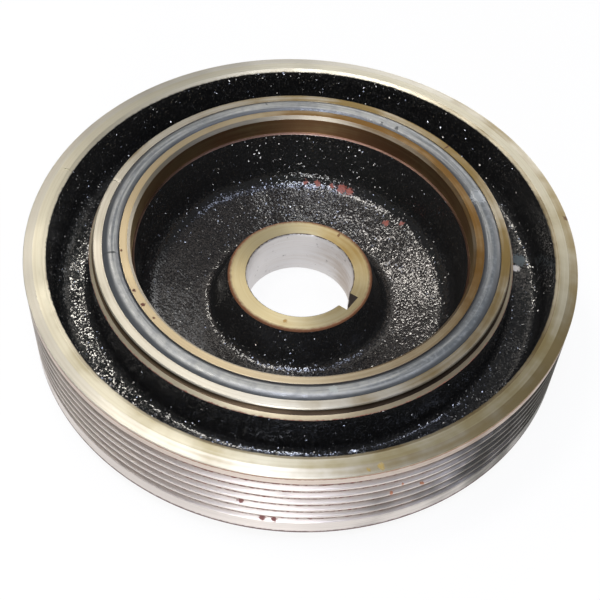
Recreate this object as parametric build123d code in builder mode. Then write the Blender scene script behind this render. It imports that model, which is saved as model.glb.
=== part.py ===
"""Rubber-bonded harmonic balancer with a six-groove ribbed belt face.

Three pieces share one axis, +Z:
  hub           iron casting: keyed boss, dished web and the drum that the rubber grips
  rubber_ring   elastomer ring squeezed between the drum and the pulley's sleeve
  pulley_ring   iron casting: sleeve, floor of the open channel and the grooved rim

The origin is on the axis, in the plane of the hub's back face. Sections are drawn on the
XZ plane as (radius, height) and turned round the axis.
"""

import os
from math import radians, tan

from build123d import *

# ---------------------------------------------------------------------------
# Belt face and rim
# ---------------------------------------------------------------------------
pulley_diameter = 164.0  # over the rib tips
groove_count = 6
groove_pitch = 3.56
groove_width = 2.8  # across the mouth, at the rib tips
groove_depth = 2.7
groove_angle = 40.0
front_shoulder = 3.2  # plain band ahead of the first groove
rear_shoulder = 5.7  # plain band behind the last groove
rear_edge_chamfer = 0.5
rim_wall = 6.6  # rib tip to the rim's inner edge
rim_setback = 3.8  # the rim's back face above the hub's back face

face_bevel_width = 2.7  # shallow bevel round the outside of the front face
face_bevel_drop = 0.4
inner_bevel_width = 1.2  # turned bevel next to the cast channel
inner_bevel_drop = 0.7

# ---------------------------------------------------------------------------
# Open channel between rim and sleeve, as cast
# ---------------------------------------------------------------------------
channel_width = 13.55  # at the mouth
channel_floor = 13.5  # thickness of iron under the channel
channel_rim_draft = 6.0  # degrees
channel_sleeve_draft = 3.0
channel_rim_fillet = 3.6
channel_sleeve_fillet = 2.2

# ---------------------------------------------------------------------------
# Sleeve, the raised inner wall of the pulley ring
# ---------------------------------------------------------------------------
sleeve_wall = 2.75
sleeve_rise = 1.5  # above the front edge of the belt face
sleeve_lip = 0.6  # plain edge above the turned groove
sleeve_groove_width = 1.8
sleeve_groove_depth = 0.5
sleeve_collar = 0.5  # the groove's lower edge stands outside the lip by this much
sleeve_cone_width = 0.9  # turned cone from the collar out to the cast wall
sleeve_cone_drop = 1.3
sleeve_edge_bevel = 0.3

# ---------------------------------------------------------------------------
# Rubber
# ---------------------------------------------------------------------------
rubber_thickness = 5.0
rubber_crown = 1.1  # bulge of the squeezed ends
rubber_edge_sink = 0.3  # the ends of the bond line below the sleeve's front face
rubber_setback = 1.6  # the ends of the bond line inside the rim's back face

# ---------------------------------------------------------------------------
# Hub
# ---------------------------------------------------------------------------
bore_diameter = 33.0
bore_chamfer = 0.4
boss_wall = 5.9
boss_length = 16.7  # length of the bore
boss_edge_chamfer = 0.4
boss_draft = 23.0  # degrees, the cone from the boss down to the web
boss_fillet = 3.5
back_boss_wall = 7.5
back_boss_height = 0.5  # the boss stands proud of the web's back by this much
web_thickness = 3.5  # at the foot of the boss
web_rise = 5.8  # of its front face, from there out to the wall of the dish
dish_draft = 6.0  # degrees, the cast wall of the dish
dish_fillet = 7.0
drum_rise = 1.8  # above the front edge of the belt face
drum_wall = 3.2  # at the turned counterbore
drum_bevel_width = 0.9  # between the drum's front land and the counterbore
drum_bevel_drop = 1.0
drum_setback = 4.0  # the drum's back edge above the hub's back face
drum_back_width = 4.6
counterbore_depth = 6.8
counterbore_ledge = 0.8

key_width = 6.0
keyway_depth = 3.0

# ---------------------------------------------------------------------------
# Timing mark, a scribed line on the rim's front face
# ---------------------------------------------------------------------------
mark_angle = 196.0  # from the keyway
mark_length = 2.6
mark_width = 0.45
mark_depth = 0.25

# ---------------------------------------------------------------------------
# Radii and heights that follow
# ---------------------------------------------------------------------------
tip_radius = pulley_diameter / 2
rim_inner_radius = tip_radius - rim_wall
sleeve_radius = rim_inner_radius - channel_width
rubber_outer_radius = sleeve_radius - sleeve_wall
drum_radius = rubber_outer_radius - rubber_thickness
counterbore_radius = drum_radius - drum_wall
dish_radius = counterbore_radius - counterbore_ledge
bore_radius = bore_diameter / 2
boss_radius = bore_radius + boss_wall

grooves_height = (groove_count - 1) * groove_pitch + groove_width
belt_front = rim_setback + rear_shoulder + grooves_height + front_shoulder
rim_front = belt_front + face_bevel_drop
first_groove = rim_setback + rear_shoulder + groove_width / 2
channel_bottom = rim_setback + channel_floor
sleeve_front = belt_front + sleeve_rise
drum_front = belt_front + drum_rise
web_back = back_boss_height
web_front = web_back + web_thickness
web_front_edge = web_front + web_rise
counterbore_bottom = drum_front - counterbore_depth


def lean(height, degrees):
    """Sideways run of a drafted wall of this height."""
    return height * tan(radians(degrees))


def room_for(radius, space):
    """The fillet asked for, or what its wall leaves room for."""
    return min(radius, 0.45 * space)


# ---------------------------------------------------------------------------
# Pulley ring
# ---------------------------------------------------------------------------
groove_high = sleeve_front - sleeve_lip
groove_low = groove_high - sleeve_groove_width
collar_radius = sleeve_radius + sleeve_collar
cone_radius = collar_radius + sleeve_cone_width
cone_low = groove_low - sleeve_cone_drop
sleeve_foot_radius = cone_radius + lean(cone_low - channel_bottom, channel_sleeve_draft)
channel_lip = rim_front - inner_bevel_drop
rim_foot_radius = rim_inner_radius - lean(channel_lip - channel_bottom, channel_rim_draft)
channel_floor_width = rim_foot_radius - sleeve_foot_radius

with BuildPart() as pulley_ring:
    with BuildSketch(Plane.XZ):
        with BuildLine():
            # The back face, the blank of the belt face and the turned front face
            Polyline(
                (sleeve_radius, rim_setback),
                (tip_radius, rim_setback),
                (tip_radius, belt_front),
                (tip_radius - face_bevel_width, rim_front),
                (rim_inner_radius + inner_bevel_width, rim_front),
                (rim_inner_radius, channel_lip),
            )
            # The channel as cast, from the rim's lip to the foot of the sleeve's turned cone
            FilletPolyline(
                (rim_inner_radius, channel_lip),
                (rim_foot_radius, channel_bottom),
                (sleeve_foot_radius, channel_bottom),
                (cone_radius, cone_low),
                radius=[
                    room_for(channel_rim_fillet, channel_floor_width),
                    room_for(channel_sleeve_fillet, channel_floor_width),
                ],
            )
            # The cone, the half-round groove and the lip of the sleeve
            Line((cone_radius, cone_low), (collar_radius, groove_low))
            ThreePointArc(
                (collar_radius, groove_low),
                (sleeve_radius - sleeve_groove_depth, (groove_low + groove_high) / 2),
                (sleeve_radius, groove_high),
            )
            Polyline(
                (sleeve_radius, groove_high),
                (sleeve_radius, sleeve_front - sleeve_edge_bevel),
                (sleeve_radius - sleeve_edge_bevel, sleeve_front),
                (rubber_outer_radius, sleeve_front),
                (rubber_outer_radius, rim_setback),
                (sleeve_radius, rim_setback),
            )
        make_face()
        # V-shaped grooves of the belt face
        groove_bottom = groove_width - 2 * lean(groove_depth, groove_angle / 2)
        for n in range(groove_count):
            with BuildLine():
                middle = first_groove + n * groove_pitch
                Polyline(
                    (tip_radius, middle - groove_width / 2),
                    (tip_radius - groove_depth, middle - groove_bottom / 2),
                    (tip_radius - groove_depth, middle + groove_bottom / 2),
                    (tip_radius, middle + groove_width / 2),
                    close=True,
                )
            make_face(mode=Mode.SUBTRACT)
    revolve(axis=Axis.Z)

    back_outer_edge = pulley_ring.edges().filter_by(GeomType.CIRCLE).group_by(Axis.Z)[0]
    chamfer(back_outer_edge.sort_by(SortBy.RADIUS)[-1], rear_edge_chamfer)

    # Timing mark, from the rim's inner edge outwards
    with BuildSketch(Plane.XY.offset(rim_front)):
        with PolarLocations(rim_inner_radius, 1, start_angle=mark_angle):
            Rectangle(mark_length, mark_width, align=(Align.MIN, Align.CENTER))
    extrude(amount=-mark_depth, mode=Mode.SUBTRACT)

# ---------------------------------------------------------------------------
# Rubber ring
# ---------------------------------------------------------------------------
bond_front = sleeve_front - rubber_edge_sink
bond_back = rim_setback + rubber_setback
rubber_middle = (drum_radius + rubber_outer_radius) / 2

with BuildPart() as rubber_ring:
    with BuildSketch(Plane.XZ):
        with BuildLine():
            Line((drum_radius, bond_back), (drum_radius, bond_front))
            ThreePointArc(
                (drum_radius, bond_front),
                (rubber_middle, bond_front + rubber_crown),
                (rubber_outer_radius, bond_front),
            )
            Line((rubber_outer_radius, bond_front), (rubber_outer_radius, bond_back))
            ThreePointArc(
                (rubber_outer_radius, bond_back),
                (rubber_middle, bond_back - rubber_crown),
                (drum_radius, bond_back),
            )
        make_face()
    revolve(axis=Axis.Z)

# ---------------------------------------------------------------------------
# Hub
# ---------------------------------------------------------------------------
boss_foot_radius = boss_radius + lean(boss_length - boss_edge_chamfer - web_front, boss_draft)
dish_foot_radius = dish_radius - lean(counterbore_bottom - web_front_edge, dish_draft)
dish_floor_width = dish_foot_radius - boss_foot_radius
drum_back_radius = drum_radius - drum_back_width
back_boss_radius = bore_radius + back_boss_wall

with BuildPart() as hub:
    with BuildSketch(Plane.XZ):
        with BuildLine():
            # Bore, back face and the back of the web
            Polyline(
                (bore_radius, boss_length - bore_chamfer),
                (bore_radius, bore_chamfer),
                (bore_radius + bore_chamfer, 0),
                (back_boss_radius, 0),
                (back_boss_radius, web_back),
                (drum_back_radius, drum_setback),
                (drum_radius, drum_setback),
                (drum_radius, drum_front),
            )
            # Front land, bevel, counterbore and its ledge
            Polyline(
                (drum_radius, drum_front),
                (counterbore_radius + drum_bevel_width, drum_front),
                (counterbore_radius, drum_front - drum_bevel_drop),
                (counterbore_radius, counterbore_bottom),
                (dish_radius, counterbore_bottom),
            )
            # The dish as cast, from the ledge across the web to the boss
            FilletPolyline(
                (dish_radius, counterbore_bottom),
                (dish_foot_radius, web_front_edge),
                (boss_foot_radius, web_front),
                (boss_radius, boss_length - boss_edge_chamfer),
                radius=[
                    room_for(dish_fillet, dish_floor_width),
                    room_for(boss_fillet, dish_floor_width),
                ],
            )
            # Turned front face of the boss
            Polyline(
                (boss_radius, boss_length - boss_edge_chamfer),
                (boss_radius - boss_edge_chamfer, boss_length),
                (bore_radius + bore_chamfer, boss_length),
                (bore_radius, boss_length - bore_chamfer),
            )
        make_face()
    revolve(axis=Axis.Z)

    # Keyway on +X, broached the whole length of the bore
    with BuildSketch(Plane.XY):
        Rectangle(bore_radius + keyway_depth, key_width, align=(Align.MIN, Align.CENTER))
    extrude(amount=boss_length, mode=Mode.SUBTRACT)

# ---------------------------------------------------------------------------
# Files
# ---------------------------------------------------------------------------
os.makedirs("parts", exist_ok=True)

hub.part.label = "hub"
export_step(hub.part, "parts/hub.step")

rubber_ring.part.label = "rubber_ring"
export_step(rubber_ring.part, "parts/rubber_ring.step")

pulley_ring.part.label = "pulley_ring"
export_step(pulley_ring.part, "parts/pulley_ring.step")
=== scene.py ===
"""Looks of a rubber-bonded harmonic balancer: hub, rubber ring and grooved pulley ring.

The pieces come in their order of assembly, in metres, around the frame. A section is drawn in
millimetres as (radius, height) and turned round Z, the axis of the crankshaft. Angles are in
degrees from the keyway.
"""

from cmath import exp, phase
from math import asin, atan2, ceil, cos, radians, sin, tan

import bpy
from mathutils import Matrix, Vector, noise


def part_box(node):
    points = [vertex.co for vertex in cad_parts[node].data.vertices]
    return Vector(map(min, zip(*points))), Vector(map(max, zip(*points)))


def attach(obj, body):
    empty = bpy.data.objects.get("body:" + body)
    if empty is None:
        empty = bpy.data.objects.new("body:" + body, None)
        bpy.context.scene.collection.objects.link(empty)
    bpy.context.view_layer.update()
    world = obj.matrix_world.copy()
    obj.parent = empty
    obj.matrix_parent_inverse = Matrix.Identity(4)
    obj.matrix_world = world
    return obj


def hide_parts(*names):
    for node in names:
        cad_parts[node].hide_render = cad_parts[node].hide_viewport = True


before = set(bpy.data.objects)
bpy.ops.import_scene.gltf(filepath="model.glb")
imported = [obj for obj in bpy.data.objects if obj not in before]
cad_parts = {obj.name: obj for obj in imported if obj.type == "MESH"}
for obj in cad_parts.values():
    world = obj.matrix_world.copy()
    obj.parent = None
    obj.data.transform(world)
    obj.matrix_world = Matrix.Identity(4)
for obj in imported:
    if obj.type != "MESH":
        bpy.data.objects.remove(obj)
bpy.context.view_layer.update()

# ---------------------------------------------------------------------------
# Hub
# The inner casting of grey iron. Its bore is reamed and broached for the crankshaft and its
# key, the boss is faced for the bolt, and the drum is turned where the rubber grips it.
# The dish between them stays as cast, under black paint.
# ---------------------------------------------------------------------------
MM = 0.001
hub_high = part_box("hub")[1]
drum_radius = hub_high.x / MM
drum_front = hub_high.z / MM
drum_wall = 3.2
counterbore_depth = 6.8
counterbore_radius = drum_radius - drum_wall
counterbore_bottom = drum_front - counterbore_depth
drum_bevel_width = 0.9
drum_bevel_drop = 1.0
ledge_width = 0.8

web_front = 4.0  # at the foot of the boss
web_rise = 5.8  # from there out to the foot of the dish's wall
web_front_edge = web_front + web_rise
dish_draft = radians(6)
dish_fillet = 7.0
dish_radius = counterbore_radius - ledge_width
dish_foot_radius = dish_radius - (counterbore_bottom - web_front_edge) * tan(dish_draft)

bore_radius = 16.5
boss_radius = 22.4
boss_front = 16.7
boss_draft = radians(23)
boss_fillet = 3.5
edge_break = 0.4  # chamfers of the bore and of the boss
boss_foot_radius = boss_radius + (boss_front - edge_break - web_front) * tan(boss_draft)
key_half_width = 3.0
key_floor = 19.5  # its distance from the axis

back_boss_radius = 24.0
back_boss_height = 0.5
drum_back = 4.0
drum_back_width = 4.6

REAMED, FACED, PAINTED, BORED, LEDGE, LAND, EDGE, BACK = range(8)  # places in its materials

hub_outline = [  # radius, height, rounding, finish as far as the next corner
    (bore_radius, boss_front - edge_break, 0.1, REAMED),
    (bore_radius, edge_break, 0.1, REAMED),
    (bore_radius + edge_break, 0.0, 0.1, BACK),
    (back_boss_radius, 0.0, 0.3, PAINTED),
    (back_boss_radius, back_boss_height, 0.3, PAINTED),
    (drum_radius - drum_back_width, drum_back, 0.3, BACK),
    (drum_radius, drum_back, 0.2, BACK),
    (drum_radius, drum_front, 0.12, LAND),
    (counterbore_radius + drum_bevel_width, drum_front, 0.2, EDGE),
    (counterbore_radius, drum_front - drum_bevel_drop, 0.15, BORED),
    (counterbore_radius, counterbore_bottom, 0.1, LEDGE),
    (dish_radius, counterbore_bottom, 0.35, PAINTED),
    (dish_foot_radius, web_front_edge, dish_fillet, PAINTED),
    (boss_foot_radius, web_front, boss_fillet, PAINTED),
    (boss_radius, boss_front - edge_break, 0.2, FACED),
    (boss_radius - edge_break, boss_front, 0.15, FACED),
    (bore_radius + edge_break, boss_front, 0.1, REAMED),
]


def arc(start, end, bulge, finish, steps):
    """Corners on an arc from start to just short of end, bulging to the right of its chord."""
    turn = 4 * atan2(bulge, abs(complex(*end) - complex(*start)) / 2)
    corners = []
    for n in range(steps):
        share = (1 - exp(1j * turn * n / steps)) / (1 - exp(1j * turn))
        point = complex(*start) + (complex(*end) - complex(*start)) * share
        corners.append((point.real, point.imag, 0.0, finish))
    return corners


def rings(outline, cast):
    """The outline as closely spaced rings, with round corners and its cast runs divided.

    A ring is its place, its outward direction, its finish as far as the next ring and its
    share of the cast skin's unevenness, which dies away over fade towards a machined edge.
    """
    widest_turn = radians(36)
    spacing = 0.8
    fade = 2.0
    bends = []
    corners_before = outline[-1:] + outline[:-1]
    corners_after = outline[1:] + outline[:1]
    for before, corner, after in zip(corners_before, outline, corners_after):
        here = complex(*corner[:2])
        run_in = here - complex(*before[:2])
        turn = phase((complex(*after[:2]) - here) / run_in)
        along = run_in / abs(run_in)
        rounding = corner[2]
        length = rounding * abs(turn)
        steps = max(ceil(abs(turn) / widest_turn), ceil(length / spacing)) if rounding else 0
        bend = []
        for n in range(steps + 1):
            swung = turn * n / steps if rounding else turn / 2
            point = here
            if rounding:
                start = here - along * rounding * tan(abs(turn) / 2)
                point = start + along * length * (exp(1j * swung) - 1) / (1j * turn)
            finish = before[3] if n < steps / 2 else corner[3]
            bend.append((point, along * exp(1j * swung) * -1j, finish))
        bends.append(bend)
    dense = []
    for bend, following in zip(bends, bends[1:] + bends[:1]):
        dense += bend
        point, _, finish = bend[-1]
        gap = following[0][0] - point
        outward = gap / abs(gap) * -1j
        pieces = ceil(abs(gap) / spacing) if finish in cast else 1
        dense += [(point + gap * n / pieces, outward, finish) for n in range(1, pieces)]
    machined = [
        ring[0] for ring, previous in zip(dense, dense[-1:] + dense[:-1])
        if ring[2] not in cast or previous[2] not in cast
    ]
    return [
        (*ring, min(1.0, min(abs(ring[0] - edge) for edge in machined) / fade) if cast else 0.0)
        for ring in dense
    ]


def turned(name, outline, materials, cast=(), extra_angles=(), reshape=None, segments=600):
    """A piece turned from its outline. What has a finish in cast keeps an uneven skin.

    reshape(radius, height, angle) may move a point, and extra_angles are where it needs corners.
    """
    dense = rings(outline, cast)
    angles = sorted({radians(360 * n / segments) for n in range(segments)} | set(extra_angles))
    points = []
    for place, outward, _, unevenness in dense:
        for angle in angles:
            radius, height = place.real, place.imag
            if unevenness:
                point = Vector((radius * cos(angle), radius * sin(angle), height))
                sand = 0.09 * noise.noise(point / 1.8)  # mm high, and mm wide
                swell = 0.2 * noise.noise(point / 8)
                radius += (sand + swell) * unevenness * outward.real
                height += (sand + swell) * unevenness * outward.imag
            if reshape:
                radius, height = reshape(radius, height, angle)
            points.append((radius * cos(angle) * MM, radius * sin(angle) * MM, height * MM))
    around = len(angles)
    faces, finishes = [], []
    for i, ring in enumerate(dense):
        this, following = i * around, (i + 1) % len(dense) * around
        for j in range(around):
            k = (j + 1) % around
            faces.append((this + j, this + k, following + k, following + j))
        finishes += [ring[2]] * around
    mesh = bpy.data.meshes.new(name)
    mesh.from_pydata(points, [], faces)
    for finish in materials:
        mesh.materials.append(finish)
    mesh.polygons.foreach_set("material_index", finishes)
    mesh.shade_smooth()
    mesh.set_sharp_from_angle(angle=radians(38))
    piece = bpy.data.objects.new(name, mesh)
    bpy.context.scene.collection.objects.link(piece)
    even = piece.modifiers.new("even_shading", "WEIGHTED_NORMAL")
    even.keep_sharp = True
    return piece


def keyed(radius, height, angle):
    """Carries the wall of the bore out to the sides and floor of the keyway."""
    side, out = abs(sin(angle)), cos(angle)
    in_bore = radius < bore_radius + edge_break + 0.1  # with its chamfers and their rounding
    if in_bore and out > 0:
        radius = max(radius, min(key_floor / out, key_half_width / max(side, 1e-6)))
    return radius, height


key_corners = [
    atan2(key_half_width, key_floor),
    asin(key_half_width / bore_radius),
    asin(key_half_width / (bore_radius + edge_break)),
]
key_corners += [radians(360) - corner for corner in key_corners]


def linear(colour):
    """A hex sRGB colour as linear red, green and blue, with alpha."""
    parts = [int(colour[n:n + 2], 16) / 255 for n in (1, 3, 5)]
    return [c / 12.92 if c <= 0.04045 else ((c + 0.055) / 1.055) ** 2.4 for c in parts] + [1.0]


def add(tree, kind, sockets=None, **settings):
    """Adds a node with its settings, and sets or links its sockets. Returns its first output."""
    made = tree.nodes.new(kind)
    for name, value in settings.items():
        setattr(made, name, value)
    for name, value in (sockets or {}).items():
        if isinstance(value, bpy.types.NodeSocket):
            tree.links.new(value, made.inputs[name])
        else:
            made.inputs[name].default_value = value
    return next((socket for socket in made.outputs if socket.enabled), None)


def ramp(tree, value, low, high, start=0.0, end=1.0):
    """value from low to high as start to end, eased at both ends."""
    return add(tree, "ShaderNodeMapRange", {
        "Value": value, "From Min": low, "From Max": high, "To Min": start, "To Max": end,
    }, interpolation_type="SMOOTHSTEP")


def blend(tree, share, under, over):
    """The colour under with over laid on it by share. A colour is a hex string or a socket."""
    colours = [linear(c) if isinstance(c, str) else c for c in (under, over)]
    made = tree.nodes.new("ShaderNodeMix")
    made.data_type = "RGBA"
    for socket, value in zip((made.inputs[0], made.inputs[6], made.inputs[7]), (share, *colours)):
        if isinstance(value, bpy.types.NodeSocket):
            tree.links.new(value, socket)
        else:
            socket.default_value = value
    return made.outputs[2]


def lathe_frame(tree):
    """A point's place in millimetres, its direction from the axis, its radius and its height."""
    place = add(tree, "ShaderNodeTexCoord").node.outputs["Object"]
    place = add(tree, "ShaderNodeVectorMath", {0: place, "Scale": 1 / MM}, operation="SCALE")
    flat = add(tree, "ShaderNodeVectorMath", {0: place, 1: (1, 1, 0)}, operation="MULTIPLY")
    radius = add(tree, "ShaderNodeVectorMath", {0: flat}, operation="LENGTH").node.outputs["Value"]
    outward = add(tree, "ShaderNodeVectorMath", {0: flat}, operation="NORMALIZE")
    height = add(tree, "ShaderNodeSeparateXYZ", {0: place}).node.outputs["Z"]
    return place, outward, radius, height


def lathe_marks(tree, outward, radius, height, length, pitch, detail=3.0):
    """Streaks that run round the axis, this long near the rim and a pitch apart, in mm."""
    rim = 80  # mm from the axis
    lean = 1.3  # keeps the marks of a 45-degree bevel from running together
    across = add(tree, "ShaderNodeMath", {0: height, 1: lean, 2: radius}, operation="MULTIPLY_ADD")
    across = add(tree, "ShaderNodeMath", {0: across, 1: 1 / pitch}, operation="MULTIPLY")
    across = add(tree, "ShaderNodeCombineXYZ", {"Z": across})
    around = add(tree, "ShaderNodeVectorMath", {
        0: outward, 1: (rim / length,) * 3, 2: across}, operation="MULTIPLY_ADD")
    return add(tree, "ShaderNodeTexNoise", {"Vector": around, "Scale": 1.0, "Detail": detail})


def facing(tree, outward, angle):
    """How far round towards this angle a point lies, from -1 to 1."""
    side = (cos(radians(angle)), sin(radians(angle)), 0)
    return add(tree, "ShaderNodeVectorMath", {
        0: outward, 1: side}, operation="DOT_PRODUCT").node.outputs["Value"]


def spot(tree, place, radius, angle, height, reach, stretch=1.0):
    """How much of a point a ragged spot covers, drawn out by stretch along radius and height.

    Its centre and its reach are in millimetres. Its edge, 0.7 to 1.2 reaches away, is moved in
    and out by a noise, whose mean is a half.
    """
    raggedness = 2.4
    centre = (radius * cos(radians(angle)), radius * sin(radians(angle)), height)
    away = add(tree, "ShaderNodeMapping", {
        "Vector": place, "Location": centre, "Rotation": (0, 0, radians(angle)),
        "Scale": (reach * stretch, reach, reach * stretch)}, vector_type="TEXTURE")
    away = add(tree, "ShaderNodeVectorMath", {0: away}, operation="LENGTH").node.outputs["Value"]
    ragged = add(tree, "ShaderNodeTexNoise", {"Vector": place, "Scale": 1.5, "Detail": 3.0})
    away = add(tree, "ShaderNodeMath", {
        0: ragged, 1: raggedness, 2: away}, operation="MULTIPLY_ADD")
    return ramp(tree, away, raggedness / 2 + 0.7, raggedness / 2 + 1.2, 1.0, 0.0)


def turned_iron(name, bright, stained, roughness=0.47, stain=0.5, oiled_and_shaded=0, shade_drift=0.2,
                lustre=0.65, crusts=(), spots=()):
    """Grey iron, turned and left bare, under a film of old oil.

    Fine marks of the tool run round the axis and draw each light out into spokes, as strongly
    as lustre says. The oil has yellowed in patches some 16 mm wide, more of them where stain is
    higher. Towards the angle oiled_and_shaded the colour goes further over to stained, by as
    much as shade_drift says, a painted shade on the side that the lights leave darker.
    Crusts of rust, dirt or paint lie where they are named, each as (across the radius or the
    height, bare here, covered there, colour), and spots of them as (radius, angle, height,
    reach, colour, stretch), all in millimetres and degrees.
    """
    made = bpy.data.materials.new(name)
    made.use_nodes = True
    tree = made.node_tree
    tree.nodes.clear()
    place, outward, radius, height = lathe_frame(tree)
    # the tool's own feed, about 0.2 mm, is too fine to show, so its marks are drawn coarser
    feed = lathe_marks(tree, outward, radius, height, length=90, pitch=0.45)
    streaks = lathe_marks(tree, outward, radius, height, length=60, pitch=1.4, detail=2.0)
    patches = add(tree, "ShaderNodeTexNoise", {"Vector": place, "Scale": 1 / 16, "Detail": 4.0})
    oil = add(tree, "ShaderNodeMath", {0: patches, 1: 0.8}, operation="MULTIPLY")
    oil = add(tree, "ShaderNodeMath", {0: streaks, 1: 0.4, 2: oil}, operation="MULTIPLY_ADD")
    # towards one side the colour is pushed further over to stained, a painted shade
    oil = add(tree, "ShaderNodeMath", {
        0: facing(tree, outward, oiled_and_shaded), 1: shade_drift, 2: oil}, operation="MULTIPLY_ADD")
    colour = blend(tree, ramp(tree, oil, 0.85 - stain * 0.6, 1.3 - stain * 0.6), bright, stained)
    colour = blend(tree, ramp(tree, feed, 0.35, 0.75, 0.0, 0.2), colour, stained)
    gloss = ramp(tree, patches, 0.3, 0.7, roughness - 0.04, roughness + 0.06)

    layers = []
    edge_noise = 0.8  # mm that the edge of a crust wanders
    grain = add(tree, "ShaderNodeTexNoise", {"Vector": place, "Scale": 1 / 1.3, "Detail": 4.0})
    for way, low, high, tone in crusts:
        across = add(tree, "ShaderNodeMath", {
            0: grain, 1: edge_noise, 2: radius if way == "radius" else height},
            operation="MULTIPLY_ADD")
        layers.append((ramp(tree, across, low + edge_noise / 2, high + edge_noise / 2), tone))
    for mark in spots:
        layers.append((spot(tree, place, *mark[:4], *mark[5:]), mark[4]))
    buried = None
    for covered, tone in layers:
        colour = blend(tree, covered, colour, tone)
        buried = covered if buried is None else add(
            tree, "ShaderNodeMath", {0: buried, 1: covered}, operation="MAXIMUM")

    sockets = {
        "Base Color": colour, "Metallic": 1.0, "Roughness": gloss, "Anisotropic": lustre,
        "Anisotropic Rotation": 0.25,  # the marks scatter light across, not along them
        "Tangent": add(tree, "ShaderNodeTangent", direction_type="RADIAL", axis="Z"),
        "Normal": add(tree, "ShaderNodeBump", {
            "Height": feed, "Strength": 0.5, "Distance": 0.05 * MM}),
    }
    if layers:
        sockets["Metallic"] = ramp(tree, buried, 0.2, 0.9, 1.0, 0.0)
        sockets["Roughness"] = add(tree, "ShaderNodeMath", {
            0: buried, 1: 0.3, 2: gloss}, operation="MULTIPLY_ADD")
    shader = add(tree, "ShaderNodeBsdfPrincipled", sockets)
    add(tree, "ShaderNodeOutputMaterial", {"Surface": shader})
    return made


def painted_iron(name, lump, tilt, upright, dust_and_sheen=0.0, spots=()):
    """Sand-cast iron under one coat of black enamel.

    The sand leaves grains of about 0.4 mm on wider lumps, and the enamel runs over them and
    stays glossy, so the surface is near black with a bright point on each grain that faces a
    light. lump is the width of a lump in mm, tilt is how far the grains lean, and upright is the
    share of them that stand on edge.
    Grey dust lies on what is level, as thick as dust_and_sheen says, and also stands in for a
    painted sheen on the level floor. Spots are (radius, angle, height, reach, colour).
    """
    made = bpy.data.materials.new(name)
    made.use_nodes = True
    tree = made.node_tree
    tree.nodes.clear()
    place = lathe_frame(tree)[0]
    lumps = add(tree, "ShaderNodeTexNoise", {"Vector": place, "Scale": 1 / lump, "Detail": 0.5})
    sand = add(tree, "ShaderNodeTexNoise", {"Vector": place, "Scale": 1 / 0.5, "Detail": 1.0})
    colour = blend(tree, ramp(tree, sand, 0.45, 0.75), "#181818", "#232221")
    rough = ramp(tree, lumps, 0.3, 0.7, 0.08, 0.2)
    # grey dust on what faces up, which is also a painted sheen there
    if dust_and_sheen:
        level = add(tree, "ShaderNodeNewGeometry").node.outputs["Normal"]
        level = add(tree, "ShaderNodeSeparateXYZ", {"Vector": level}).node.outputs["Z"]
        dust_and_sheen_share = add(tree, "ShaderNodeMath", {
            0: ramp(tree, sand, 0.35, 0.65), 1: ramp(tree, level, 0.85, 0.95, 0.0, dust_and_sheen)},
            operation="MULTIPLY")
        colour = blend(tree, dust_and_sheen_share, colour, "#857a70")
    for radius, angle, height, reach, tone in spots:
        covered = spot(tree, place, radius, angle, height, reach)
        colour = blend(tree, covered, colour, tone)
        rough = add(tree, "ShaderNodeMath", {
            0: covered, 1: 0.4, 2: rough}, operation="MULTIPLY_ADD")

    # each cell of the Voronoi texture is a grain, and its random colour is the way it leans
    warped = add(tree, "ShaderNodeTexNoise", {"Vector": place, "Scale": 1 / 1.2, "Detail": 1.0})
    warped = add(tree, "ShaderNodeVectorMath", {
        0: warped.node.outputs["Color"], 1: (0.8, 0.8, 0.8), 2: place}, operation="MULTIPLY_ADD")
    grains = add(tree, "ShaderNodeTexVoronoi", {"Vector": warped, "Scale": 1 / 0.38})
    grains = grains.node.outputs["Color"]
    steep = add(tree, "ShaderNodeSeparateXYZ", {"Vector": grains}).node.outputs["Z"]
    steep = ramp(tree, steep, 1 - upright, 1.0, tilt, tilt + 1.4)
    facets = add(tree, "ShaderNodeVectorMath", {0: grains, 1: (-0.5, -0.5, -0.5)}, operation="ADD")
    facets = add(tree, "ShaderNodeVectorMath", {0: facets, "Scale": steep}, operation="SCALE")
    skin = add(tree, "ShaderNodeBump", {"Height": lumps, "Strength": 1.0, "Distance": 0.13 * MM})
    skin = add(tree, "ShaderNodeVectorMath", {0: facets, 1: skin}, operation="ADD")
    skin = add(tree, "ShaderNodeVectorMath", {0: skin}, operation="NORMALIZE")
    shader = add(tree, "ShaderNodeBsdfPrincipled", {
        "Base Color": colour, "Roughness": rough, "Specular IOR Level": 0.85, "Normal": skin})
    add(tree, "ShaderNodeOutputMaterial", {"Surface": shader})
    return made


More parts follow.
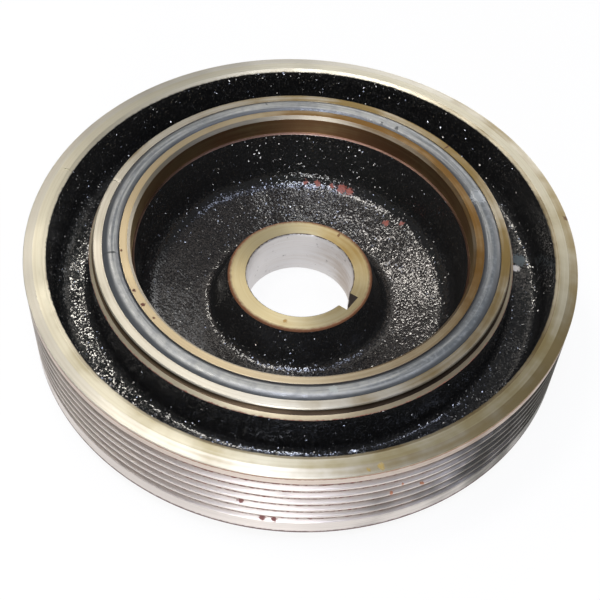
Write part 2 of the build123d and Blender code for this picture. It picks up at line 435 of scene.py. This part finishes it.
RUST = "#9a4a38"
PIT = "#5c3428"
hub_finishes = [  # in the order of their places
    # the reamed wall shines, and the keyway and the chamfers are darker
    turned_iron("reamed_iron", "#e2dfde", "#bfb0a2", crusts=[
        ("radius", bore_radius + 0.1, bore_radius + 0.3, "#4a3c34")]),
    # the face that the bolt's washer bears on, with rust round its edge
    turned_iron("faced_iron", "#d6c9a2", "#b89c62", oiled_and_shaded=47, crusts=[
        ("radius", boss_radius - 1.5, boss_radius - 0.4, "#74492c"),
    ], spots=[
        (19.1, 291.4, boss_front, 0.6, "#b08c50"),
        (20.6, 88.4, boss_front, 0.4, "#7c5a36", 2.0),
    ]),
    # the dish, with a chain of rust blisters along the foot of its wall
    painted_iron("painted_casting", lump=0.8, tilt=0.12, upright=0.2, dust_and_sheen=0.12, spots=[
        (46.6, 122.5, 9.6, 0.9, RUST),
        (46.6, 117.6, 9.6, 1.1, RUST),
        (46.6, 111.2, 9.6, 0.9, RUST),
        (46.5, 107.0, 9.5, 1.6, RUST),
        (46.2, 103.5, 9.4, 1.3, RUST),
        (42.0, 81.5, 8.2, 1.0, RUST),
        (45.0, 76.0, 9.0, 0.8, RUST),
    ]),
    # the counterbore, gone evenly brown, and the ledge at its foot, pale pink on one side and
    # painted dark round the rest, a painted shade
    turned_iron("browned_counterbore", "#9c8862", "#76583e", stain=0.65, oiled_and_shaded=122),
    turned_iron("rusted_ledge", "#a08072", "#4a382e", stain=1.2, oiled_and_shaded=302, shade_drift=0.5),
    # the drum's front, yellow with oil and pitted, and its bevel
    turned_iron("oiled_land", "#c8b898", "#7e5f34", stain=0.6, oiled_and_shaded=62, shade_drift=0.28, spots=[
        (53.2, 241.1, drum_front, 0.5, PIT),
        (53.2, 247.3, drum_front, 0.6, PIT),
        (53.1, 253.6, drum_front, 0.4, "#6c4a34"),
        (53.5, 224.3, drum_front, 0.4, "#6c4a34"),
    ]),
    turned_iron("bright_edge", "#b2aa9a", "#7c6038", stain=0.6, oiled_and_shaded=17),
    # the back, out of the light and dull
    turned_iron("bare_back", "#a8a098", "#7e7264"),
]
hub = turned("hub_casting", hub_outline, hub_finishes, cast=[PAINTED],
             extra_angles=key_corners, reshape=keyed, segments=480)
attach(hub, "root")
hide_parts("hub")

# ---------------------------------------------------------------------------
# Rubber ring
# A moulded ring of nitrile rubber, pressed dry into the gap between drum and sleeve and held
# there by its squeeze, which makes its open ends bulge. Dust has dried on it in streaks.
# ---------------------------------------------------------------------------
rubber_low, rubber_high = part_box("rubber_ring")
rubber_outer_radius = rubber_high.x / MM
crown = 1.1
rubber_front = rubber_high.z / MM - crown
rubber_back = rubber_low.z / MM + crown

rubber_outline = [
    *arc((drum_radius, rubber_back), (rubber_outer_radius, rubber_back), crown, 0, steps=12),
    (rubber_outer_radius, rubber_back, 0.0, 0),
    *arc((rubber_outer_radius, rubber_front), (drum_radius, rubber_front), crown, 0, steps=12),
    (drum_radius, rubber_front, 0.0, 0),
]

rubber_nicks = [  # radius, angle, reach, colour, stretch
    (55.2, 92.0, 0.6, "#303436", 2.0),
    (54.8, 97.5, 0.6, "#303436", 2.0),
    (58.0, 137.0, 0.3, "#303436", 4.0),
    (57.0, 225.0, 0.4, "#303436", 6.0),
    (56.3, 313.3, 1.2, "#a0a4a0", 1.0),
    (56.8, 53.0, 2.6, "#888c8e", 1.0),
]


def moulded_rubber():
    """Nitrile rubber from a mould, satin and black, gone grey with dust.

    The dust lies in wiped streaks round the ring, with blotches and specks of 2.5 and 0.9 mm.
    It is painted paler on two opposite sides and a little on a third, a painted sheen. Both
    edges of the bulge are dark, the outer one further in on two opposite sides as painted shade.
    """
    made = bpy.data.materials.new("dusty_rubber")
    made.use_nodes = True
    tree = made.node_tree
    tree.nodes.clear()
    place, outward, radius, height = lathe_frame(tree)
    wipes = lathe_marks(tree, outward, radius, height, length=30, pitch=0.7)
    blotches = add(tree, "ShaderNodeTexNoise", {"Vector": place, "Scale": 1 / 2.5, "Detail": 5.0})
    bloom = add(tree, "ShaderNodeTexNoise", {"Vector": place, "Scale": 1 / 0.9, "Detail": 3.0})

    # two opposite sides, and a little a third, are made paler as if dustier: a painted sheen
    sheen_sides = facing(tree, outward, 280)
    sheen_sides = add(tree, "ShaderNodeMath", {
        0: sheen_sides, 1: sheen_sides}, operation="MULTIPLY")
    dust = add(tree, "ShaderNodeMath", {
        0: sheen_sides, 1: 0.3, 2: wipes}, operation="MULTIPLY_ADD")
    dust = add(tree, "ShaderNodeMath", {
        0: facing(tree, outward, 235), 1: 0.1, 2: dust}, operation="MULTIPLY_ADD")
    colour = blend(tree, ramp(tree, dust, 0.4, 0.9), "#4e5356", "#a8a7a0")
    colour = blend(tree, ramp(tree, blotches, 0.42, 0.7, 0.0, 0.5), colour, "#5c6063")
    colour = blend(tree, ramp(tree, bloom, 0.45, 0.7, 0.0, 0.35), colour, "#8f9294")

    edge_reach = add(tree, "ShaderNodeMath", {0: wipes, 1: 1.6, 2: radius}, operation="MULTIPLY_ADD")
    inner_edge = ramp(tree, edge_reach, drum_radius + 2.6, drum_radius + 1.4)
    # on two opposite sides the outer edge is dark further in, a painted shade
    shaded_sides = facing(tree, outward, 50)
    shaded_sides = add(tree, "ShaderNodeMath", {0: shaded_sides, 1: shaded_sides}, operation="MULTIPLY")
    edge_reach = add(tree, "ShaderNodeMath", {0: shaded_sides, 1: 0.75, 2: edge_reach}, operation="MULTIPLY_ADD")
    outer_edge = ramp(tree, edge_reach, rubber_outer_radius - 0.6, rubber_outer_radius + 0.4)
    edge = add(tree, "ShaderNodeMath", {0: outer_edge, 1: inner_edge}, operation="MAXIMUM")
    colour = blend(tree, edge, colour, "#3e4144")
    for radius, angle, reach, tone, stretch in rubber_nicks:
        covered = spot(tree, place, radius, angle, rubber_front + crown, reach, stretch)
        colour = blend(tree, covered, colour, tone)

    skin = add(tree, "ShaderNodeBump", {"Height": wipes, "Strength": 0.6, "Distance": 0.1 * MM})
    shader = add(tree, "ShaderNodeBsdfPrincipled", {
        "Base Color": colour, "Roughness": ramp(tree, blotches, 0.3, 0.7, 0.28, 0.45),
        "Specular IOR Level": 1.0, "Normal": skin})
    add(tree, "ShaderNodeOutputMaterial", {"Surface": shader})
    return made


rubber_ring = turned("rubber_ring_moulding", rubber_outline, [moulded_rubber()])
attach(rubber_ring, "root")
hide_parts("rubber_ring")

# ---------------------------------------------------------------------------
# Pulley ring
# The outer casting of grey iron: a sleeve that the rubber grips, and the grooved rim that the
# belt runs on, joined by the floor of an open channel. Rim, belt face and sleeve are turned
# bare, and the channel is left as cast and painted black.
# ---------------------------------------------------------------------------
ring_low, ring_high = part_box("pulley_ring")
tip_radius = ring_high.x / MM
rim_back = ring_low.z / MM
sleeve_front = ring_high.z / MM

belt_front = sleeve_front - 1.5
rim_rise = 0.4  # from the belt face's edge to the flat of the rim
rim_slope_width = 2.7
rim_front = belt_front + rim_rise
rim_width = 6.6
rim_inner_radius = tip_radius - rim_width
bevel_width = 1.2
bevel_drop = 0.7
stain_edge = 0.45  # how far the rim's oil has run down the belt face

channel_lip = rim_front - bevel_drop
channel_bottom = rim_back + 13.5
rim_draft = radians(6)
rim_fillet = 3.6
rim_foot_radius = rim_inner_radius - (channel_lip - channel_bottom) * tan(rim_draft)

sleeve_wall = 2.75
sleeve_radius = rubber_outer_radius + sleeve_wall
sleeve_bevel = 0.3
oil_groove_width = 1.8
oil_groove_depth = 0.6
groove_high = sleeve_front - 0.6
groove_low = groove_high - oil_groove_width
collar_radius = sleeve_radius + 0.5
cone_radius = collar_radius + 0.9
cone_low = groove_low - 1.3
sleeve_draft = radians(3)
sleeve_fillet = 2.2
sleeve_foot_radius = cone_radius + (cone_low - channel_bottom) * tan(sleeve_draft)

groove_count = 6
groove_pitch = 3.56
groove_mouth = 2.8
groove_depth = 2.7
groove_flank = radians(20)
groove_root = groove_mouth - 2 * groove_depth * tan(groove_flank)
rear_flange = 5.7
first_groove = rim_back + rear_flange + groove_mouth / 2

# Places in its materials. SLOPE is the eased corner from the rim to the belt face, and SHOULDER
# the plain band in front of the grooves.
RIM, SLOPE, SHOULDER, BELT, BEVEL, CHANNEL, SLEEVE, OIL_GROOVE, CONE, RING_BACK = range(10)

grooves = []
for n in range(groove_count):
    middle = first_groove + n * groove_pitch
    grooves += [
        (tip_radius, middle - groove_mouth / 2, 0.22, BELT),
        (tip_radius - groove_depth, middle - groove_root / 2, 0.25, BELT),
        (tip_radius - groove_depth, middle + groove_root / 2, 0.25, BELT),
        (tip_radius, middle + groove_mouth / 2, 0.22, BELT),
    ]
grooves[-1] = (*grooves[-1][:3], SHOULDER)

mark_angle = radians(196)
mark_depth = 0.25
mark_end = rim_inner_radius + 2.6
mark_half_width = 0.225  # at its bottom
mark_half_mouth = 0.3
mark_end_run = 0.05  # over which it rises to the rim's flat

ring_outline = [
    (rubber_outer_radius, rim_back, 0.2, RING_BACK),
    (tip_radius - 0.5, rim_back, 0.15, RING_BACK),
    (tip_radius, rim_back + 0.5, 0.15, BELT),
    *grooves,
    (tip_radius, belt_front - stain_edge, 0.0, SLOPE),
    (tip_radius, belt_front, 0.2, SLOPE),
    (tip_radius - rim_slope_width, rim_front, 0.5, RIM),
    (mark_end + mark_end_run, rim_front, 0.0, RIM),
    (mark_end, rim_front, 0.0, RIM),
    (rim_inner_radius + bevel_width, rim_front, 0.4, BEVEL),
    (rim_inner_radius, channel_lip, 0.12, CHANNEL),
    (rim_foot_radius, channel_bottom, rim_fillet, CHANNEL),
    (sleeve_foot_radius, channel_bottom, sleeve_fillet, CHANNEL),
    (cone_radius, cone_low, 0.15, CONE),
    (collar_radius, groove_low, 0.0, OIL_GROOVE),
    *arc((collar_radius, groove_low), (sleeve_radius, groove_high), -oil_groove_depth,
         OIL_GROOVE, steps=8)[1:],
    (sleeve_radius, groove_high, 0.0, SLEEVE),
    (sleeve_radius, sleeve_front - sleeve_bevel, 0.1, SLEEVE),
    (sleeve_radius - sleeve_bevel, sleeve_front, 0.1, SLEEVE),
    (rubber_outer_radius, sleeve_front, 0.15, RING_BACK),
]


def scribed(radius, height, angle):
    """Sinks the timing mark into the rim's front face and its bevel."""
    slack = 0.01
    beside = abs(angle - mark_angle) * radius
    in_width = beside < mark_half_width + slack
    in_length = radius < mark_end + slack and height > channel_lip - slack
    return radius, height - mark_depth if in_width and in_length else height


mark_sides = [
    mark_angle + side * reach / mark_end
    for side in (-1, 1) for reach in (mark_half_width, mark_half_mouth)]

CHIP = "#946460"
SPECK = "#b0785c"
YELLOWED = "#a08a52"
ring_finishes = [  # in the order of their places
    # the rim's front, its eased corner and the shoulder, with yellowed patches of oil, all
    # painted darker and yellower towards the keyway's side, a painted shade
    turned_iron("turned_rim", "#dcd7c4", "#a5976e", stain=0.4, oiled_and_shaded=-22, shade_drift=0.28),
    turned_iron("browned_and_shaded_slope", "#dcd8cc", "#9e8e68", stain=0.4, oiled_and_shaded=8, shade_drift=0.4, spots=[
        (80.6, 319.6, rim_front, 0.9, YELLOWED),
        (80.9, 317.2, rim_front, 0.6, YELLOWED),
        (81.5, 43.0, belt_front, 0.9, "#6a5038"),
    ]),
    turned_iron("turned_shoulder", "#dccfc4", "#a08c7c", oiled_and_shaded=36, shade_drift=0.25, crusts=[
        ("height", belt_front - 1.1, belt_front - 0.8, "#94705e")]),
    # the belt has left its face pale and rust fills the grooves. The face is painted darker
    # towards one side and in a band along its back edge, a painted shade
    turned_iron(
        "turned_belt_face", "#e8e0da", "#76736c", stain=1.55, oiled_and_shaded=100, shade_drift=0.8,
        crusts=[
            ("radius", tip_radius - 1.05, tip_radius - 1.35, "#84483a"),
            # a dark band just above the back edge, painted shade where the face nears the floor
            ("height", rim_back + 1.5, rim_back + 1.0, "#66504e"),
        ],
        spots=[
            (81.0, 293.8, 16.9, 0.8, CHIP),
            (80.9, 298.1, 9.8, 1.0, CHIP),
            (81.3, 300.4, 9.6, 0.7, CHIP),
            (81.8, 322.2, 20.2, 0.6, SPECK),
            (81.8, 328.5, 20.4, 0.6, SPECK),
            (81.8, 324.2, 23.6, 0.4, SPECK),
            (81.8, 327.2, 12.4, 0.35, SPECK),
        ]),
    # the paint of the channel laps over the bevel's inner edge
    turned_iron("dull_bevel", "#d6ceb8", "#807050", stain=0.6, oiled_and_shaded=-10, lustre=0.3, crusts=[
        ("radius", rim_inner_radius + 0.35, rim_inner_radius - 0.1, "#1c1b1a")]),
    # a chip through the paint to the primer, beside a smear of dust
    painted_iron("painted_channel", lump=1.8, tilt=0.18, upright=0.3, spots=[
        (67.8, 38.8, channel_bottom, 1.3, "#ded6cc"),
        (69.4, 41.5, channel_bottom, 2.2, "#4c5658"),
    ]),
    # the sleeve, its groove dark all through, and its cone, matt, with rust where the paint starts
    turned_iron("turned_sleeve", "#dcd7c9", "#8f7a4e", stain=0.7, oiled_and_shaded=66, shade_drift=0.22, spots=[
        (60.9, 75.6, sleeve_front, 0.3, "#5a3a28", 5.0)]),
    turned_iron("dark_groove", "#6a5a48", "#3c322a", roughness=0.55),
    turned_iron("turned_cone", "#f0e6cc", "#c4b498", roughness=0.6, lustre=0.1, crusts=[
        ("height", cone_low + 0.35, cone_low - 0.05, "#8a4a3a")]),
    # the back, out of the light and dull
    turned_iron("bare_ring_back", "#a8a098", "#7e7264"),
]
pulley_ring = turned("pulley_ring_casting", ring_outline, ring_finishes, cast=[CHANNEL],
                     extra_angles=mark_sides, reshape=scribed, segments=420)
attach(pulley_ring, "root")
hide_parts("pulley_ring")

# ---------------------------------------------------------------------------
# Floor, camera, lights and world
# A plain white floor in a white room. Small softboxes behind, overhead and to the sides draw
# the bright points on the paint and the spokes on the turned faces. A low one in front lights
# the belt face.
# ---------------------------------------------------------------------------
floor_half = 3.0
floor_whiteness = 0.88  # the share of its look that no shadow reaches
floor_mesh = bpy.data.meshes.new("floor")
floor_mesh.from_pydata(
    [(x * floor_half, y * floor_half, 0) for x, y in ((-1, -1), (1, -1), (1, 1), (-1, 1))],
    [], [(0, 1, 2, 3)])
floor = bpy.data.objects.new("floor", floor_mesh)
bpy.context.scene.collection.objects.link(floor)

pale_floor = bpy.data.materials.new("pale_floor")
pale_floor.use_nodes = True
tree = pale_floor.node_tree
tree.nodes.clear()
rays = add(tree, "ShaderNodeLightPath").node.outputs
seen = add(tree, "ShaderNodeMath", {
    0: rays["Is Camera Ray"], 1: rays["Is Glossy Ray"]}, operation="MAXIMUM")
seen = add(tree, "ShaderNodeMath", {0: seen, 1: floor_whiteness}, operation="MULTIPLY")
matt = add(tree, "ShaderNodeBsdfDiffuse", {"Color": linear("#fafafa")})
white = add(tree, "ShaderNodeEmission", {"Color": linear("#ffffff"), "Strength": 1.0})
lit = add(tree, "ShaderNodeMixShader", {0: seen, 1: matt, 2: white})
add(tree, "ShaderNodeOutputMaterial", {"Surface": lit})
floor_mesh.materials.append(pale_floor)

CAMERA_AZIMUTH = 32.0
CAMERA_ELEVATION = 51.12
CAMERA_ROLL = 3.97
CAMERA_PLACE = (124.6, -198.4, 294.4)  # mm
CAMERA_LENS = 70.5  # mm, for Blender's 36 mm sensor
camera_data = bpy.data.cameras.new("camera")
camera_data.lens = CAMERA_LENS
camera = bpy.data.objects.new("camera", camera_data)
camera.matrix_world = (
    Matrix.Translation(Vector(CAMERA_PLACE) * MM)
    @ Matrix.Rotation(radians(CAMERA_AZIMUTH), 4, "Z")
    @ Matrix.Rotation(radians(90 - CAMERA_ELEVATION), 4, "X")
    @ Matrix.Rotation(radians(CAMERA_ROLL), 4, "Z")
)
bpy.context.scene.collection.objects.link(camera)
bpy.context.scene.camera = camera


def toward(turn, elevation):
    """The direction that is turned this far to the right of the camera's, as seen from above."""
    azimuth = radians(CAMERA_AZIMUTH + turn)
    level = cos(radians(elevation))
    return Vector((sin(azimuth) * level, -cos(azimuth) * level, sin(radians(elevation))))


lamp_distance = 0.9


def softbox(name, turn, elevation, width, depth, power, colour):
    """A rectangular lamp that faces the object, its width level."""
    lamp = bpy.data.lights.new(name, "AREA")
    lamp.shape = "RECTANGLE"
    lamp.size, lamp.size_y = width, depth
    lamp.energy = power
    lamp.color = linear(colour)[:3]
    holder = bpy.data.objects.new(name, lamp)
    holder.matrix_world = (
        Matrix.Translation(toward(turn, elevation) * lamp_distance)
        @ Matrix.Rotation(radians(CAMERA_AZIMUTH + turn), 4, "Z")
        @ Matrix.Rotation(radians(90 - elevation), 4, "X")
    )
    bpy.context.scene.collection.objects.link(holder)


softbox("back_softbox", -149, 50, 0.11, 0.13, 0.9, "#fff8ee")
softbox("left_softbox", -95, 72, 0.22, 0.22, 1.9, "#fffaf2")
softbox("overhead_softbox", -4, 79, 0.17, 0.17, 1.5, "#d8e2ff")
softbox("front_softbox", -4, 64, 0.14, 0.14, 1.7, "#f0f4ff")
softbox("low_softbox", -5, 14, 0.25, 0.2, 3.0, "#ffffff")
softbox("behind_softbox", 178, 45, 0.3, 0.3, 0.2, "#fff8ee")
softbox("high_softbox", -170, 81, 0.1, 0.1, 0.25, "#ffffff")
softbox("right_softbox", 80, 60, 0.16, 0.16, 0.5, "#d8e2ff")

world = bpy.data.worlds.new("studio")
world.use_nodes = True
tree = world.node_tree
tree.nodes.clear()
rays = add(tree, "ShaderNodeLightPath").node.outputs
direct = add(tree, "ShaderNodeMath", {
    0: rays["Is Camera Ray"], 1: rays["Is Transmission Ray"]}, operation="MAXIMUM")
# Seen directly the room is white, and it lights matt surfaces softly from all sides. Metal
# reflects a dim room with one broad bright window, low down behind the object to the right.
window = toward(152, 6)
way = add(tree, "ShaderNodeTexCoord").node.outputs["Generated"]
beside_window = add(tree, "ShaderNodeVectorMath", {
    0: way, 1: window}, operation="DOT_PRODUCT").node.outputs["Value"]
shade = ramp(tree, beside_window, 0.82, 0.97, 0.13, 2.8)
glossy = add(tree, "ShaderNodeBackground", {"Color": linear("#ffffff"), "Strength": shade})
soft = add(tree, "ShaderNodeBackground", {"Color": linear("#ffffff"), "Strength": 0.36})
white = add(tree, "ShaderNodeBackground", {"Color": linear("#ffffff"), "Strength": 1.0})
around = add(tree, "ShaderNodeMixShader", {0: rays["Is Glossy Ray"], 1: soft, 2: glossy})
around = add(tree, "ShaderNodeMixShader", {0: direct, 1: around, 2: white})
add(tree, "ShaderNodeOutputWorld", {"Surface": around})
bpy.context.scene.world = world

bpy.context.scene.view_settings.view_transform = "Standard"
